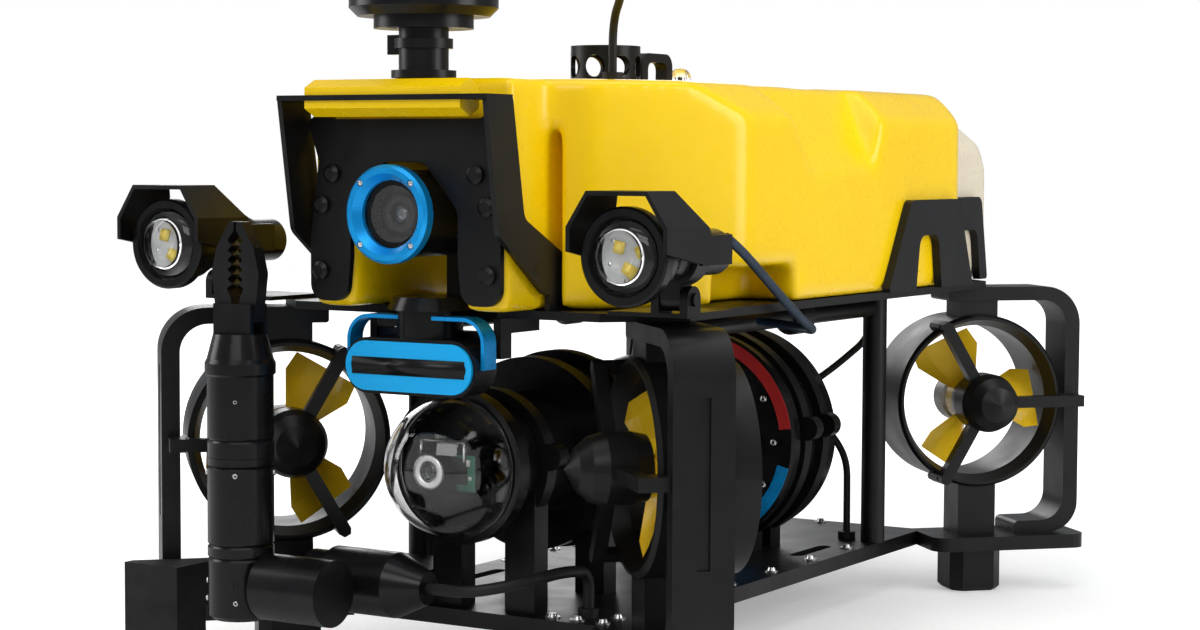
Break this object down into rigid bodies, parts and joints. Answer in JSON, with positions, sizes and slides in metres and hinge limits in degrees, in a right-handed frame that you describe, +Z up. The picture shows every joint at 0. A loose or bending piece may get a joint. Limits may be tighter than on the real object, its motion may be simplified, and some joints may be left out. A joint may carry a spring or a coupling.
{
  "type": "underwater inspection vehicle",
  "caption": "Open-frame underwater vehicle with a moulded float, corner thrusters in guards, lights, a bow camera, a dome camera, a sonar head and a folding gripper arm.",
  "frame": {"origin": "middle of the bounding box at the level of the skid feet's soles", "axes": "+Z up, -Y to the front, where the cameras look, +X to port"},
  "size_m": [0.6596, 1.0438, 0.702],
  "materials": {
    "frame_black": "satin",
    "float_yellow": "gloss",
    "stern_cream": "satin",
    "metal_black": "satin",
    "housing_black": "gloss",
    "anodised_blue": "satin",
    "clear": "gloss",
    "emitter": "gloss",
    "propeller_yellow": "gloss",
    "tail_grey": "satin",
    "steel": "satin",
    "foam_black": "matte",
    "cable_black": "satin"
  },
  "bodies": {
    "vehicle": {"base_plate": "frame_black", "top_frame": "frame_black", "front_guards": "frame_black", "rear_guards": "frame_black", "frame_pillars": "frame_black", "skid_feet": "frame_black", "float_block": "float_yellow", "stern_float": "stern_cream", "float_clips": "frame_black", "camera_plate": "frame_black", "plate_bolts": "frame_black", "bumper_bar": "float_yellow", "bumper_strap": "metal_black", "main_camera_bezel": "anodised_blue", "main_camera_barrel": "housing_black", "main_camera_window": "clear", "light_brackets": "frame_black", "sonar_bracket": "metal_black", "camera_dome": "clear", "camera_pod": "housing_black", "electronics_pod": "housing_black", "pod_end_cap": "housing_black", "pod_clamps": "frame_black", "front_port_duct": "frame_black", "front_starboard_duct": "frame_black", "rear_port_duct": "frame_black", "rear_starboard_duct": "frame_black", "thruster_tails": "tail_grey", "lift_thruster_mounts": "metal_black", "mast_column": "metal_black", "mast_head": "housing_black", "sensor_cage": "metal_black", "lifting_handle": "frame_black", "beacon": "clear", "trim_block": "foam_black", "arm_plinth": "frame_black", "arm_shoulder": "housing_black", "deck_screws": "steel", "held_cables": "cable_black"},
    "front_port_screw": {"front_port_propeller": "propeller_yellow"},
    "front_starboard_screw": {"front_starboard_propeller": "propeller_yellow"},
    "rear_port_screw": {"rear_port_propeller": "propeller_yellow"},
    "rear_starboard_screw": {"rear_starboard_propeller": "propeller_yellow"},
    "port_lift_screw": {"port_lift_propeller": "propeller_yellow"},
    "port_light": {"port_light_body": "housing_black", "port_light_emitter": "emitter", "port_light_hood": "frame_black"},
    "starboard_lift_screw": {"starboard_lift_propeller": "propeller_yellow"},
    "starboard_light": {"starboard_light_body": "housing_black", "starboard_light_emitter": "emitter", "starboard_light_hood": "frame_black"},
    "sonar": {"sonar_body": "housing_black", "sonar_face": "anodised_blue", "sonar_band": "anodised_blue"},
    "tilt_camera": {"dome_tilt_camera": "housing_black"},
    "elbow_link": {"arm_elbow": "housing_black"},
    "forearm": {"arm_forearm": "housing_black"},
    "wrist": {"arm_wrist": "housing_black"},
    "port_jaw_body": {"port_jaw": "metal_black"},
    "starboard_jaw_body": {"starboard_jaw": "metal_black"}
  },
  "joints": [
    {"name": "front_port_spin", "type": "hinge", "parent": "vehicle", "child": "front_port_screw", "pos_m": [0.194, -0.36588, 0.222], "axis": [-0.7071, -0.7071, 0], "continuous": true},
    {"name": "front_starboard_spin", "type": "hinge", "parent": "vehicle", "child": "front_starboard_screw", "pos_m": [-0.194, -0.36588, 0.222], "axis": [0.7071, -0.7071, 0], "continuous": true},
    {"name": "rear_port_spin", "type": "hinge", "parent": "vehicle", "child": "rear_port_screw", "pos_m": [0.223, 0.38612, 0.222], "axis": [0.7071, -0.7071, 0], "continuous": true},
    {"name": "rear_starboard_spin", "type": "hinge", "parent": "vehicle", "child": "rear_starboard_screw", "pos_m": [-0.223, 0.38612, 0.222], "axis": [-0.7071, -0.7071, 0], "continuous": true},
    {"name": "port_lift_spin", "type": "hinge", "parent": "vehicle", "child": "port_lift_screw", "pos_m": [0.105, -0.00488, 0.435], "axis": [0, 0, 1], "continuous": true},
    {"name": "port_light_tilt", "type": "hinge", "parent": "vehicle", "child": "port_light", "pos_m": [0.253, -0.38888, 0.378], "axis": [1, 0, 0], "range_deg": [-20, 30]},
    {"name": "starboard_lift_spin", "type": "hinge", "parent": "vehicle", "child": "starboard_lift_screw", "pos_m": [-0.105, -0.00488, 0.435], "axis": [0, 0, 1], "continuous": true},
    {"name": "starboard_light_tilt", "type": "hinge", "parent": "vehicle", "child": "starboard_light", "pos_m": [-0.253, -0.38888, 0.378], "axis": [1, 0, 0], "range_deg": [-20, 30]},
    {"name": "sonar_tilt", "type": "hinge", "parent": "vehicle", "child": "sonar", "pos_m": [0, -0.38788, 0.329], "axis": [1, 0, 0], "range_deg": [-8, 8]},
    {"name": "dome_camera_tilt", "type": "hinge", "parent": "vehicle", "child": "tilt_camera", "pos_m": [0, -0.36288, 0.209], "axis": [1, 0, 0], "range_deg": [-60, 60]},
    {"name": "arm_shoulder_pitch", "type": "hinge", "parent": "vehicle", "child": "elbow_link", "pos_m": [-0.156, -0.41788, 0.102], "axis": [1, 0, 0], "range_deg": [0, 20]},
    {"name": "arm_elbow_pitch", "type": "hinge", "parent": "elbow_link", "child": "forearm", "pos_m": [-0.156, -0.48888, 0.102], "axis": [1, 0, 0], "range_deg": [0, 90]},
    {"name": "arm_wrist_roll", "type": "hinge", "parent": "forearm", "child": "wrist", "pos_m": [-0.156, -0.48888, 0.314], "axis": [0, 0, 1], "range_deg": [-175, 175]},
    {"name": "port_jaw_open", "type": "hinge", "parent": "wrist", "child": "port_jaw_body", "pos_m": [-0.142, -0.48888, 0.357], "axis": [0, 1, 0], "range_deg": [0, 25]},
    {"name": "starboard_jaw_open", "type": "hinge", "parent": "wrist", "child": "starboard_jaw_body", "pos_m": [-0.17, -0.48888, 0.357], "axis": [0, 1, 0], "range_deg": [-25, 0]}
  ],
  "couplings": [
    {"joint": "starboard_jaw_open", "follows": "port_jaw_open", "ratio": -1}
  ]
}
